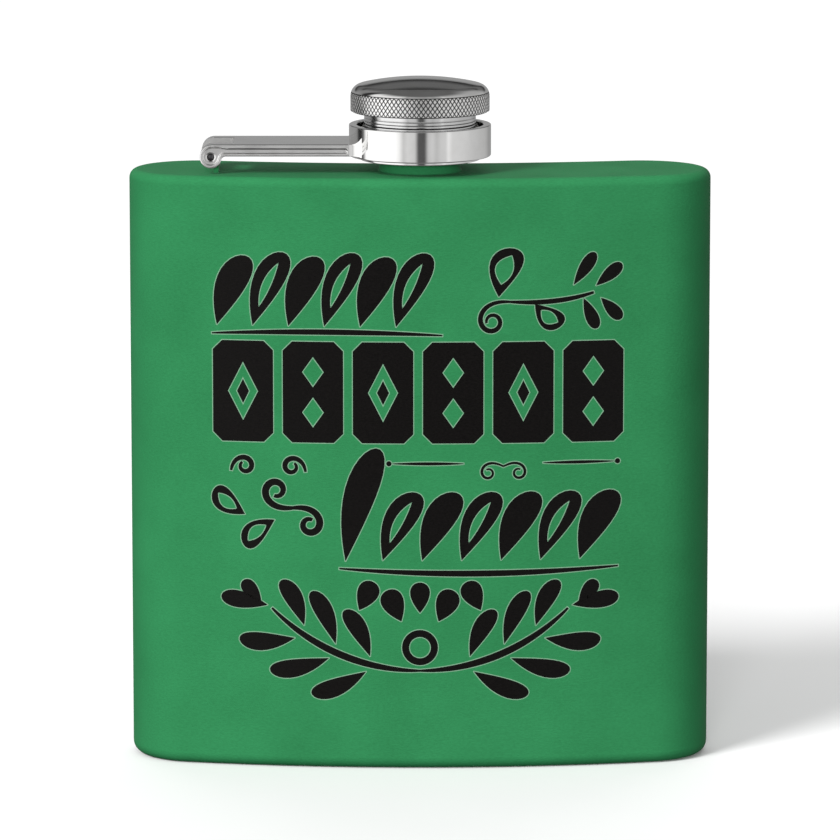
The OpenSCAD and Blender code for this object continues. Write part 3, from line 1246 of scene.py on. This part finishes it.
@dataclass
class ScrewCap:
    """The cap: turned core, seal, and a domed cover with a diamond knurl."""

    datum: Datum
    head: float = 11.2
    head_low: float = 9.55
    sleeve: float = 9.0
    dome: float = 44.0
    apex: float = 15.03
    brow: float = 1.9
    skin: float = 0.8
    diamonds: int = 95
    rows: int = 6
    knurl: Point = (9.66, 12.70)
    knurl_depth: float = 0.2
    bank: float = 0.075  # half of the width of a groove in the knurl
    grooves: tuple[float, ...] = (7.5, 8.05, 8.6)
    groove_depth: float = 0.035
    groove_half: float = 0.07
    ceiling: float = 10.05  # top of the seal's seat
    seat: Point = (6.85, 9.05)  # radius and foot of the seal's seat
    thread: Point = (6.45, 7.05)  # radius and foot of the threaded bore
    crest: float = 6.06
    mouth: Point = (7.1, 2.45)
    shank: float = 8.12
    clip_groove: Triple = (7.6, 3.05, 3.85)  # radius, foot and top
    shoulder: float = 6.75  # where the shank widens to the sleeve
    core: Triple = (10.38, 9.65, 12.0)  # radius, foot and top of the part inside the cover
    disc: Point = (6.8, 9.06)  # radius and foot of the sealing disc
    print_rise: float = 0.08  # depth of the ring that the neck has pressed into it

    @property
    def brow_centre(self) -> Point:
        """Centre of the rounding between the cover's side and its dome."""
        across = self.head - self.brow
        return across, self.apex - self.dome + math.sqrt((self.dome - self.brow) ** 2 - across ** 2)

    def make_core(self) -> bpy.types.Object:
        """Makes the core: bore with its thread, grooved sleeve and the shank that slides in the ring.

        Returns:
            The piece.
        """
        work = Workpiece()
        grooves = [
            (self.sleeve - depth, height + rise) for height in self.grooves
            for rise, depth in ((-self.groove_half, 0.0), (0.0, self.groove_depth), (self.groove_half, 0.0))
        ]
        (seat, seat_foot), (bore, bore_foot), (mouth, tip) = self.seat, self.thread, self.mouth
        (waist, waist_foot, waist_top), (core, core_foot, core_top) = self.clip_groove, self.core
        work.lathe([
            (0.0, self.ceiling), (seat, self.ceiling), (seat, seat_foot), (bore, seat_foot), (bore, bore_foot),
            (mouth, bore_foot, 0.08), (mouth, tip, 0.15), (self.shank, tip, 0.18), (self.shank, waist_foot),
            (waist, waist_foot), (waist, waist_top), (self.shank, waist_top), (self.shank, self.shoulder, 0.1),
            (self.sleeve, self.shoulder, 0.12), *grooves, (self.sleeve, core_foot), (core, core_foot, 0.1),
            (core, core_top), (0.0, core_top),
        ], self.datum.neck, 144, segments=3, closed=False)
        root = bore + 0.05
        section = [(root, -0.25), (self.crest, -0.07), (self.crest, 0.07), (root, 0.25)]
        start = self.datum.neck + UP * (bore_foot + 0.4)
        work.ridge(section, root, start, 1.0, 1.3, -0.3 * FULL_TURN)
        return work.deliver("cap_core_turned", TurnedMetal(), Body.CAP, ["cap_core"])

    def make_seal(self) -> bpy.types.Object:
        """Makes the sealing disc, with the ring that the neck has pressed into it.

        Returns:
            The piece.
        """
        work = Workpiece()
        (edge, foot), top = self.disc, self.ceiling - 0.01
        dent = foot + self.print_rise
        work.lathe([
            (0.0, foot), (4.9, foot), (5.3, dent, 0.1), (5.9, dent, 0.1), (6.3, foot), (edge, foot, 0.15),
            (edge, top, 0.15), (0.0, top),
        ], self.datum.neck, 96, closed=False)
        return work.deliver("sealing_disc", Silicone(), Body.CAP, ["cap_seal"])

    def skin_arcs(self, inset: float, first: int, second: int) -> list[Point]:
        """The cover's brow and dome, from the side up to the axis.

        Args:
            inset: How far inside the outer surface.
            first: Facets over the brow.
            second: Facets over the dome.

        Returns:
            Radius and height of each point.
        """
        across, up = self.brow_centre
        slope = math.degrees(math.asin(across / (self.dome - self.brow)))
        start = 22.0 if inset == 0 else 0.0
        over = CapArm.arc((across, up), self.brow - inset, start, 90.0 - slope, first)
        return over + CapArm.arc((0.0, self.apex - self.dome), self.dome - inset, 90.0 - slope, 90.0, second)[1:]

    def make_cover(self) -> bpy.types.Object:
        """Makes the domed cover and cuts the knurl round its side.

        Returns:
            The piece.
        """
        work, count = Workpiece(), 2 * self.diamonds
        low, high = self.knurl
        valley = self.head - self.knurl_depth
        heights = [low + (high - low) * row / self.rows for row in range(self.rows + 1)]
        inner = self.skin_arcs(self.skin, 6, 12)
        work.lathe([
            *reversed(inner), (self.head - self.skin, self.head_low), (self.head - 0.32, self.head_low),
            *((valley, height) for height in heights), (valley - 0.04, high + 0.03),
            *self.skin_arcs(0.0, 9, 30),
        ], self.datum.neck, count, closed=False)
        self.cut_knurl(work, heights, count)
        # The third finish is the dark chrome that paints shade in the knurl's grooves.
        return work.deliver(
            "knurled_cover", Chrome(), Body.CAP, ["cap_cover"], crease=24.0,
            others=(SatinChrome(), ShadePaintedChrome()),
        )

    def crown(self, height: float) -> float:
        """Radius of the cover's side at a height.

        Args:
            height: The height above the shoulder.

        Returns:
            The radius.
        """
        across, up = self.brow_centre
        if height <= up:
            return self.head
        return across + math.sqrt(self.brow ** 2 - (height - up) ** 2)

    def cut_knurl(self, work: Workpiece, heights: Sequence[float], count: int) -> None:
        """Turns the band's grid into flat-topped diamonds with grooves between them, and paints shade on the grooves'
        walls with the dark chrome.

        Args:
            work: The cover's mesh.
            heights: Heights of the grid's rows above the shoulder.
            count: Points in each row.
        """
        neck, bm, last = self.datum.neck, work.bm, len(heights) - 1
        middles, ends, valleys = set(), set(), set()
        for vert in bm.verts:
            flat = vert.co - neck
            radius = flat.to_2d().length
            rows = [row for row, height in enumerate(heights) if abs(flat.z - height) < WELD]
            if not rows or abs(radius - (self.head - self.knurl_depth)) > WELD:
                continue
            spot = round(math.atan2(flat.y, flat.x) / FULL_TURN * count)
            kind = valleys if (spot + rows[0]) % 2 else ends if rows[0] in (0, last) else middles
            kind.add(vert)
            vert.co.xy = neck.xy + flat.xy * ((self.crown(flat.z) - self.knurl_depth) / radius)
        for face in list(bm.faces):
            low_pair = [vert for vert in face.verts if vert in valleys]
            if len(low_pair) == 2 and sum(vert in middles or vert in ends for vert in face.verts) == 2:
                bmesh.utils.face_split(face, low_pair[0], low_pair[1])
        ribs = [
            edge for vert in ends for edge in vert.link_edges
            if edge.other_vert(vert) in valleys and abs(edge.other_vert(vert).co.z - vert.co.z) > WELD
        ]
        bmesh.ops.dissolve_edges(bm, edges=ribs, use_verts=False)
        bmesh.ops.dissolve_verts(bm, verts=list(middles))
        bmesh.ops.recalc_face_normals(bm, faces=list(bm.faces))
        diamonds = [face for face in bm.faces if all(vert in valleys or vert in ends for vert in face.verts)]
        for face in diamonds:
            face.material_index = 1
        banks = bmesh.ops.inset_individual(
            bm, faces=diamonds, thickness=self.bank, depth=self.knurl_depth, use_even_offset=True
        )["faces"]
        # The grooves' walls get the dark chrome: painted shade.
        for face in banks:
            face.material_index = 2


class Leaf(enum.Enum):
    """How a printed leaf ends."""

    DROP = "round at one end"
    BLADE = "pointed at both ends"


@dataclass
class PrintedOrnament:
    """A generic garland and frieze printed on the front of the body."""

    shell: BentBody
    middle: float = 47.8  # height of the print's middle
    ink: float = 0.03
    edge: float = 0.016
    rim: float = 0.15
    sunk: float = 0.012
    slice: float = 1.5
    work: Workpiece = field(default_factory=Workpiece)

    def place(self, verts: Iterable[bmesh.types.BMVert], at: Point, angle: float) -> None:
        """Turns and moves a motif that was drawn about the origin.

        Args:
            verts: The motif's vertices.
            at: Where it goes, from the print's middle.
            angle: How far it turns, in degrees.
        """
        turned = Matrix.Translation((*at, 0.0)) @ Matrix.Rotation(math.radians(angle), 4, "Z")
        bmesh.ops.transform(self.work.bm, matrix=turned, verts=list(verts))

    def leaf_ring(self, length: float, width: float, bend: float, shape: Leaf) -> list[bmesh.types.BMVert]:
        """A leaf's outline, growing from the origin along +X.

        Args:
            length: From stalk to tip.
            width: At the widest.
            bend: How far the middle bows sideways.
            shape: How it ends.

        Returns:
            The outline's vertices.
        """
        verts = bmesh.ops.create_circle(self.work.bm, segments=30, radius=1.0)["verts"]
        for vert in verts:
            along, across = vert.co.x, vert.co.y
            if shape is Leaf.DROP:
                across *= 1.3 * math.sqrt(max(0.0, 1.0 + along) / 2)
            else:
                across *= math.sqrt(max(0.0, 1.0 - along ** 2))
            vert.co.x = (along + 1.0) / 2 * length
            vert.co.y = across * width / 2 + bend * (1.0 - along ** 2)
        return verts

    def leaf(
        self, at: Point, angle: float, length: float, width: float, bend: float = 0.0, shape: Leaf = Leaf.DROP,
        hollow: float = 0.0,
    ) -> None:
        """Prints a leaf.

        Args:
            at: Where its stalk is.
            angle: Which way it grows, in degrees.
            length: From stalk to tip.
            width: At the widest.
            bend: How far its middle bows sideways.
            shape: How it ends.
            hollow: Share of its width that is left open.
        """
        outer = self.leaf_ring(length, width, bend, shape)
        if hollow:
            inner = self.leaf_ring(length * 0.62, width * hollow, bend * 0.5, Leaf.BLADE)
            bmesh.ops.translate(self.work.bm, verts=inner, vec=Vector((length * 0.24, bend * 0.4, 0.0)))
            outer = outer + inner
        self.work.fill(edges_of(outer))
        self.place(outer, at, angle)

    def stroke(
        self, at: Point, angle: float, length: float, width: float, curl: Point, blunt: float = 0.25, steps: int = 36
    ) -> None:
        """Prints a stroke that swells in the middle.

        Args:
            at: Where it starts.
            angle: Its first heading, in degrees.
            length: How long it is.
            width: At the widest.
            curl: Turn per millimetre at its start and end, in degrees.
            blunt: Share of the width that is left at the ends.
            steps: Facets along it.
        """
        bm, stride = self.work.bm, length / steps
        spot, heading, thick = Vector((*at, 0.0)), math.radians(angle), width * blunt
        across = Vector((-math.sin(heading), math.cos(heading), 0.0)) * thick / 2
        _, edges = self.work.wire([spot - across, spot + across], closed=False)
        for step in range(1, steps + 1):
            share = step / steps
            turn = math.radians(curl[0] + (curl[1] - curl[0]) * share) * stride
            ahead = spot + Vector((math.cos(heading + turn / 2), math.sin(heading + turn / 2), 0.0)) * stride
            swell = width * (blunt + (1.0 - blunt) * math.sin(math.pi * share) ** 0.8)
            made = bmesh.ops.extrude_edge_only(bm, edges=edges)["geom"]
            verts = verts_in(made)
            edges = [edge for edge in edges_in(made) if all(vert in verts for vert in edge.verts)]
            move = (
                Matrix.Translation(ahead) @ Matrix.Rotation(turn, 4, "Z")
                @ Matrix.Scale(max(swell, width * 0.04) / thick, 4) @ Matrix.Translation(-spot)
            )
            bmesh.ops.transform(bm, matrix=move, verts=verts)
            spot, heading, thick = ahead, heading + turn, max(swell, width * 0.04)

    def dot(self, at: Point, radius: float) -> None:
        """Prints a dot.

        Args:
            at: Its middle.
            radius: Its radius.
        """
        bmesh.ops.create_circle(
            self.work.bm, cap_ends=True, segments=20, radius=radius, matrix=Matrix.Translation((*at, 0.0))
        )

    def lozenge(self, at: Point, width: float, height: float) -> list[bmesh.types.BMEdge]:
        """Outline of a lozenge.

        Args:
            at: Its middle.
            width: Its width.
            height: Its height.

        Returns:
            Its edges.
        """
        lay = Matrix.Translation((*at, 0.0)) @ Matrix.Diagonal((width / 2, height / 2, 1.0, 1.0))
        verts = bmesh.ops.create_circle(self.work.bm, segments=4, radius=1.0, matrix=lay)["verts"]
        return edges_of(verts)

    def tile(self, at: Point, width: float, height: float, twin: bool) -> None:
        """Prints one tile of the frieze.

        Args:
            at: Its middle.
            width: Its width.
            height: Its height.
            twin: Whether it has two small windows, and not a large one.
        """
        x, y, cut = width / 2, height / 2, 1.5
        geom = self.work.section(
            [(-x, -y, cut), (x, -y, cut), (x, y, cut), (-x, y, cut)],
            lambda across, up: (at[0] + across, at[1] + up, 0.0), True, 1,
        )
        edges = edges_in(geom)
        if twin:
            for side in (-1, 1):
                edges += self.lozenge((at[0], at[1] + side * height * 0.2), width * 0.36, height * 0.3)
            self.work.fill(edges)
            return
        edges += self.lozenge(at, width * 0.5, height * 0.58)
        self.work.fill(edges)
        self.work.fill(self.lozenge(at, width * 0.2, height * 0.24))

    def both(self, draw: Callable[..., None], at: Point, angle: float, *sizes: float, **options: object) -> None:
        """Draws a motif and its mirror image.

        Args:
            draw: What draws the motif.
            at: Where the right-hand one starts.
            angle: Which way the right-hand one heads, in degrees.
            *sizes: The motif's sizes.
            **options: The motif's other options.
        """
        draw(at, angle, *sizes, **options)
        twin = {
            key: tuple(-x for x in value) if key == "curl" else -value if key == "bend" else value
            for key, value in options.items()
        }
        draw((-at[0], at[1]), 180.0 - angle, *sizes, **twin)

    def draw_garland(self) -> None:
        """Draws the top row: bold leaning leaves over a fine line, and a light sprig."""
        for i in range(6):
            self.leaf((-32.6 + 5.75 * i, 24.6), 66.0, 12.2 + 0.7 * (i % 2), 4.9, 0.7, hollow=0.3 * (i % 2))
        self.stroke((-33.4, 23.2), 3.0, 37.0, 0.9, (-0.16, -0.16))
        self.stroke((14.4, 28.6), -4.0, 13.6, 0.8, (1.0, 2.2), blunt=0.5)
        self.stroke((14.4, 28.6), 176.0, 15.0, 0.8, (3.0, 58.0), blunt=0.5)
        self.leaf((12.6, 29.4), 70.0, 8.2, 5.0, 0.8, hollow=0.6)
        self.leaf((18.4, 28.2), -36.0, 5.6, 3.6, -0.6, hollow=0.6)
        for at, angle, length in (
            ((24.6, 31.2), 56.0, 6.2), ((28.2, 31.0), 40.0, 5.4), ((26.2, 29.0), -66.0, 5.4),
            ((29.0, 29.0), -46.0, 4.8),
        ):
            self.leaf(at, angle, length, 2.1)

    def draw_frieze(self) -> None:
        """Draws the bold band of tiles."""
        width, gap = 9.7, 1.55
        for i in range(6):
            self.tile(((i - 2.5) * (width + gap) - 0.3, 13.9), width, 16.4, i % 2 == 1)

    def draw_scrolls(self) -> None:
        """Draws the third row: scrolls, a bold row of leaves and a fine divider."""
        self.stroke((-20.4, -5.0), 6.0, 12.0, 1.15, (-3.0, -62.0), blunt=0.5)
        self.stroke((-20.4, -5.0), 186.0, 12.5, 1.15, (-3.0, -58.0), blunt=0.5)
        self.stroke((-30.4, 0.9), 84.0, 9.0, 0.85, (-14.0, -76.0), blunt=0.45)
        self.stroke((-18.4, 0.9), 96.0, 9.0, 0.85, (14.0, 76.0), blunt=0.45)
        self.leaf((-28.2, -6.2), 140.0, 6.4, 3.6, 0.5, hollow=0.55)
        self.leaf((-23.4, -7.0), 222.0, 6.6, 3.6, -0.6, hollow=0.55)
        self.leaf((-12.0, -13.6), 74.0, 19.2, 5.2, 0.8)
        for i in range(6):
            self.leaf((-6.0 + 6.35 * i, -13.4), 62.0, 12.4, 5.0, 0.8, hollow=0.3 * ((i + 1) % 2))
        self.stroke((-13.0, -14.8), -4.0, 45.0, 1.0, (0.18, 0.18))
        for side in (-1, 1):
            self.stroke((13.4 + side * 6.4, 2.4), 90.0 - side * 90.0, 11.4, 0.5, (0.0, 0.0), blunt=0.2)
            self.stroke((13.4, 1.9), 90.0 - side * 62.0, 8.6, 0.45, (side * -4.0, side * -92.0), blunt=0.6)
            self.dot((13.4 + side * 18.4, 2.4), 0.42)

    def draw_laurel(self) -> None:
        """Draws the loose drops and the laurel with its ring."""
        for at, angle, length, width in (
            ((3.0, -23.4), 66.0, 5.6, 3.7), ((9.8, -21.6), 116.0, 5.2, 3.5),
        ):
            self.both(self.leaf, at, angle, length, width)
        self.leaf((0.0, -22.0), 90.0, 5.0, 3.2)
        radius, centre = 33.5, 2.0
        self.both(self.stroke, (0.0, centre - radius), 0.0, 26.6, 1.15, curl=(1.71, 1.71), blunt=0.3, steps=44)
        for station, heading, inner, outer in (
            (-75.5, 62.0, 8.6, 9.6), (-65.0, 66.0, 9.4, 9.8), (-54.5, 64.0, 8.2, 9.0),
        ):
            spot = math.radians(station)
            for side, length, angle in ((1, inner, heading), (-1, outer, station + 52.0)):
                off = radius - side * 1.3
                at = (off * math.cos(spot), centre + off * math.sin(spot))
                self.both(self.leaf, at, angle, length, 3.0, bend=0.5 * side)
        self.both(self.leaf, (24.6, -21.0), 10.0, 7.6, 2.8)
        self.both(self.leaf, (25.6, -20.6), 50.0, 4.6, 2.4)
        rings = [
            bmesh.ops.create_circle(
                self.work.bm, segments=40, radius=size, matrix=Matrix.Translation((0.0, centre - radius + 3.8, 0.0))
            )["verts"] for size in (2.9, 1.75)
        ]
        self.work.fill(edges_of(vert for verts in rings for vert in verts))

    def wrap(self, work: Workpiece, thick: float) -> None:
        """Gives flat shapes their thickness and lays them on the body.

        Args:
            work: The flat shapes.
            thick: How far they stand proud.
        """
        bm, shell = work.bm, self.shell
        cuts = int(shell.end[0] / self.slice)
        for i in range(-cuts, cuts + 1):
            bmesh.ops.bisect_plane(
                bm, geom=[*bm.verts, *bm.edges, *bm.faces], plane_co=Vector((i * self.slice, 0.0, 0.0)),
                plane_no=Vector((1.0, 0.0, 0.0)),
            )
        made = bmesh.ops.extrude_face_region(bm, geom=list(bm.faces))["geom"]
        bmesh.ops.translate(bm, verts=verts_in(made), vec=UP * (thick + self.sunk))
        for vert in bm.verts:
            x, up, out = vert.co
            radius = shell.bend + shell.half_thick + out - self.sunk
            vert.co = (x, shell.hub.y - math.sqrt(radius ** 2 - x ** 2), self.middle + up)

    def outset(self) -> Workpiece:
        """Draws the narrow rim that runs round every printed shape.

        Returns:
            The rim, still flat.
        """
        rim = Workpiece()
        rim.bm.free()
        rim.bm = self.work.bm.copy()
        inside = list(rim.bm.faces)
        brink = [edge for edge in rim.bm.edges if edge.is_boundary]
        out: dict[bmesh.types.BMVert, list[Vector]] = {}
        for edge in brink:
            loop = edge.link_loops[0]
            ahead = (loop.link_loop_next.vert.co - loop.vert.co).normalized()
            for vert in edge.verts:
                out.setdefault(vert, []).append(Vector((ahead.y, -ahead.x, 0.0)))
        made = bmesh.ops.extrude_edge_only(rim.bm, edges=brink)["geom"]
        grown = set(verts_in(made))
        for vert, ways in out.items():
            way = sum(ways, Vector()) / len(ways)
            reach = self.rim / max(way.length, 0.45)
            for edge in vert.link_edges:
                twin = edge.other_vert(vert)
                if twin in grown:
                    twin.co += way.normalized() * reach
        bmesh.ops.delete(rim.bm, geom=inside, context="FACES")
        return rim

    def make(self) -> list[bpy.types.Object]:
        """Prints the ornament and its pale rim.

        Returns:
            The two pieces.
        """
        for draw in (self.draw_garland, self.draw_frieze, self.draw_scrolls, self.draw_laurel):
            draw()
        self.work.weld()
        self.work.bm.normal_update()
        for face in self.work.bm.faces:
            if face.normal.z < 0:
                face.normal_flip()
        rim = self.outset()
        self.wrap(self.work, self.ink)
        self.wrap(rim, self.edge)
        return [
            self.work.deliver("printed_ornament", Ink(), Body.FLASK, weigh=False),
            rim.deliver("printed_rim", InkEdge(), Body.FLASK, weigh=False),
        ]


@dataclass
class Lamp:
    """A distant lamp with a soft edge."""

    name: str
    turn: float  # degrees from the front, towards the right
    height: float
    size: float
    power: float

    def hang(self) -> None:
        """Adds the lamp. Polished metal mirrors the soft boxes, and not the lamp itself."""
        light = bpy.data.lights.new(self.name, "SUN")
        light.energy, light.angle = self.power, math.radians(self.size)
        holder = bpy.data.objects.new(self.name, light)
        turn, height = math.radians(self.turn), math.radians(self.height)
        source = Vector((math.sin(turn) * math.cos(height), -math.cos(turn) * math.cos(height), math.sin(height)))
        holder.rotation_euler = source.to_track_quat("Z", "Y").to_euler()
        holder.location = source
        holder.visible_glossy = False
        bpy.context.scene.collection.objects.link(holder)


class Surround:
    """The room's light: soft boxes and darker gaps for the metal to mirror, and plain white to look at."""

    # Round the horizon: degrees from the front, towards the right, and the grey there.
    AROUND: tuple[Point, ...] = (
        (-180, 0.30), (-132, 0.32), (-124, 0.27), (-119, 0.05), (-112, 0.03), (-108, 0.10), (-104, 0.28),
        (-100, 0.95), (-96, 1.28), (-42, 1.28), (-34, 1.06), (-27, 0.66), (-20, 0.76), (-13, 0.72), (-4, 0.64),
        (12, 0.58), (20, 0.66), (27, 0.55), (34, 0.65), (42, 0.68), (47, 0.92), (54, 0.74), (76, 0.68),
        (96, 0.58), (130, 0.52), (152, 0.32), (180, 0.30),
    )
    # Up the wall behind: degrees above the horizon, and the grey there.
    BEHIND: tuple[Point, ...] = (
        (-90, 0.34), (9, 0.33), (12, 0.22), (13.5, 0.02), (16, 0.06), (20, 0.15), (26, 0.17), (30, 0.04), (33, 0.17),
        (38, 0.16), (60, 0.13), (90, 0.13),
    )
    TOP = 2.0  # the brightest grey that the curves can hold
    STRIP = 2.5  # degrees from the front to the dark strip's middle
    BACKDROP = 1.05  # the plain white behind the flask

    def __init__(self) -> None:
        """Starts an empty world."""
        world = bpy.data.worlds.new("studio")
        bpy.context.scene.world = world
        world.use_nodes = True
        self.nodes, self.links = world.node_tree.nodes, world.node_tree.links

    def node(self, kind: str, *inputs: object, **settings: object) -> bpy.types.NodeSocket:
        """Adds a node.

        Args:
            kind: The node's type, without its usual prefix.
            *inputs: Values or sockets for its inputs, in order, with None for one that stays.
            **settings: The node's own options.

        Returns:
            Its first output.
        """
        made = self.nodes.new("ShaderNode" + kind)
        for option, value in settings.items():
            setattr(made, option, value)
        for socket, value in zip(made.inputs, inputs):
            if isinstance(value, bpy.types.NodeSocket):
                self.links.new(value, socket)
            elif value is not None:
                socket.default_value = value
        return made.outputs[0]

    def curve(self, angle: bpy.types.NodeSocket, stops: Sequence[Point]) -> bpy.types.NodeSocket:
        """Maps an angle onto a grey.

        Args:
            angle: The angle in degrees.
            stops: Angles with their greys, in order.

        Returns:
            The grey.
        """
        low, high = stops[0][0], stops[-1][0]
        share = self.node("MapRange", angle, low, high)
        made = self.nodes.new("ShaderNodeFloatCurve")
        line = made.mapping.curves[0]
        places = [((turn - low) / (high - low), grey / self.TOP) for turn, grey in stops]
        line.points[0].location, line.points[-1].location = places[0], places[-1]
        for place in places[1:-1]:
            line.points.new(*place)
        for point in line.points:
            point.handle_type = "VECTOR"
        made.mapping.update()
        self.links.new(share, made.inputs["Value"])
        return self.node("Math", made.outputs[0], self.TOP, operation="MULTIPLY")

    def ease(self, value: bpy.types.NodeSocket, low: float, high: float) -> bpy.types.NodeSocket:
        """Rises smoothly from 0 to 1 between two values."""
        return self.node("MapRange", value, low, high, interpolation_type="SMOOTHSTEP")

    def mix(self, share: object, first: object, second: object) -> bpy.types.NodeSocket:
        """Mixes two numbers."""
        return self.node("Mix", share, None, first, second)

    def mirrored(
        self, turn: bpy.types.NodeSocket, apart: bpy.types.NodeSocket, rise: bpy.types.NodeSocket
    ) -> bpy.types.NodeSocket:
        """What polished metal mirrors: soft boxes all round, a dark strip in front, and little above or below.

        Args:
            turn: Degrees from the front, towards the right.
            apart: Degrees from the front, either way.
            rise: Degrees above the horizon.

        Returns:
            The grey.
        """
        away = self.ease(apart, 138.0, 156.0)
        walls = self.mix(away, self.curve(turn, self.AROUND), self.curve(rise, self.BEHIND))
        aside = self.node("Math", self.node("Math", turn, self.STRIP, operation="SUBTRACT"), operation="ABSOLUTE")
        clear = self.node("Math", self.ease(aside, 4.0, 12.0), self.ease(rise, 8.0, 20.0), operation="MAXIMUM")
        shade = self.mix(self.ease(rise, 8.0, 30.0), self.mix(clear, 0.16, 1.0), 0.74)
        boxes = self.node("Math", walls, shade, operation="MULTIPLY")
        roofed = self.mix(self.ease(rise, 38.0, 64.0), boxes, 0.13)
        return self.mix(self.ease(rise, -50.0, -26.0), 0.15, roofed)

    def soft(self, apart: bpy.types.NodeSocket, rise: bpy.types.NodeSocket) -> bpy.types.NodeSocket:
        """What lights dull surfaces: dim at the sides, brighter behind and above, and dark below.

        Args:
            apart: Degrees from the front, either way.
            rise: Degrees above the horizon.

        Returns:
            The grey.
        """
        rear = self.mix(self.ease(apart, 128.0, 160.0), 0.1, 1.7)
        sides = self.mix(self.ease(apart, 50.0, 95.0), 0.55, rear)
        return self.mix(self.ease(rise, -12.0, 10.0), 0.04, self.mix(self.ease(rise, 40.0, 62.0), sides, 0.65))

    def build(self) -> None:
        """Lays out the world's nodes."""
        place = self.nodes.new("ShaderNodeTexCoord").outputs["Generated"]
        parts = self.nodes.new("ShaderNodeSeparateXYZ")
        self.links.new(place, parts.inputs[0])
        front = self.node("Math", parts.outputs[1], -1.0, operation="MULTIPLY")
        turn = self.node("Math", self.node("Math", parts.outputs[0], front, operation="ARCTAN2"), operation="DEGREES")
        rise = self.node("Math", self.node("Math", parts.outputs[2], operation="ARCSINE"), operation="DEGREES")
        apart = self.node("Math", turn, operation="ABSOLUTE")
        mirrored = self.mirrored(turn, apart, rise)
        rays = self.nodes.new("ShaderNodeLightPath").outputs
        light = self.mix(rays["Is Glossy Ray"], self.soft(apart, rise), mirrored)
        shown = self.mix(rays["Is Camera Ray"], light, self.BACKDROP)
        self.links.new(shown, self.nodes["Background"].inputs["Strength"])
        self.nodes["Background"].inputs["Color"].default_value = (1.0, 1.0, 1.0, 1.0)


@dataclass
class Studio:
    """Pale floor, soft light and the camera."""

    floor_radius: float = 0.5
    lamps: tuple[Lamp, ...] = (Lamp("key", -43.0, 36.0, 20.0, 2.8), Lamp("fill", -6.0, 9.0, 12.0, 2.0))
    camera_place: Triple = (0.0, -0.9856, 0.22026)
    camera_dip: float = 9.5095
    lens: float = 263.58

    def lay_floor(self) -> None:
        """Lays the pale floor."""
        work = bmesh.new()
        bmesh.ops.create_circle(
            work, cap_ends=True, segments=96, radius=self.floor_radius, matrix=Matrix.Translation((0.0, 0.0, -2e-5))
        )
        mesh = bpy.data.meshes.new("floor")
        work.to_mesh(mesh)
        work.free()
        floor = bpy.data.objects.new("floor", mesh)
        bpy.context.scene.collection.objects.link(floor)
        recipe = Recipe("pale_floor")
        recipe.wire(recipe.shader, {
            "Base Color": recipe.tint(recipe.noise(40.0), (0.90, 0.90, 0.90), (0.93, 0.93, 0.93)),
            "Roughness": recipe.spread(recipe.noise(9.0), 0.85, 0.95),
            "Specular IOR Level": 0.0,
        })
        mesh.materials.append(recipe.material)
        floor.visible_glossy = floor.visible_diffuse = False
        floor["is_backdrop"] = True

    def set_camera(self) -> None:
        """Stands the camera in front, a little above the flask."""
        data = bpy.data.cameras.new("camera")
        data.sensor_width, data.lens = 36.0, self.lens
        data.clip_start, data.clip_end = 0.01, 50.0
        camera = bpy.data.objects.new("camera", data)
        camera.location = self.camera_place
        camera.rotation_euler = (math.radians(90.0 - self.camera_dip), 0.0, 0.0)
        bpy.context.scene.collection.objects.link(camera)
        bpy.context.scene.camera = camera

    def build(self) -> None:
        """Sets up the floor, the lights and the camera."""
        bpy.context.scene.view_settings.view_transform = "Standard"
        Surround().build()
        self.lay_floor()
        for lamp in self.lamps:
            lamp.hang()
        self.set_camera()
        log.info("studio ready")


def corners(box: tuple[Vector, Vector]) -> list[list[float]]:
    """A box as plain lists of numbers."""
    return [list(corner) for corner in box]


def main() -> None:
    """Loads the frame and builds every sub-assembly in order."""
    logging.basicConfig(level=logging.INFO, format="%(message)s")
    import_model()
    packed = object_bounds()
    datum = Datum.from_frame()
    shell = BentBody(datum)
    neck, lug, arm, cap = Neck(datum), HingeLug(datum), CapArm(datum), ScrewCap(datum)
    for make in (
        shell.make_wrap, shell.make_shoulder, shell.make_base, neck.make_collar, neck.make_tube, lug.make,
        arm.make_arm, arm.make_pin, arm.make_clip, cap.make_core, cap.make_seal, cap.make_cover,
        PrintedOrnament(shell).make,
    ):
        make()
    Studio().build()
    {"cad": corners(packed), "visual": corners(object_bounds())}


if __name__ == "__main__":
    main()
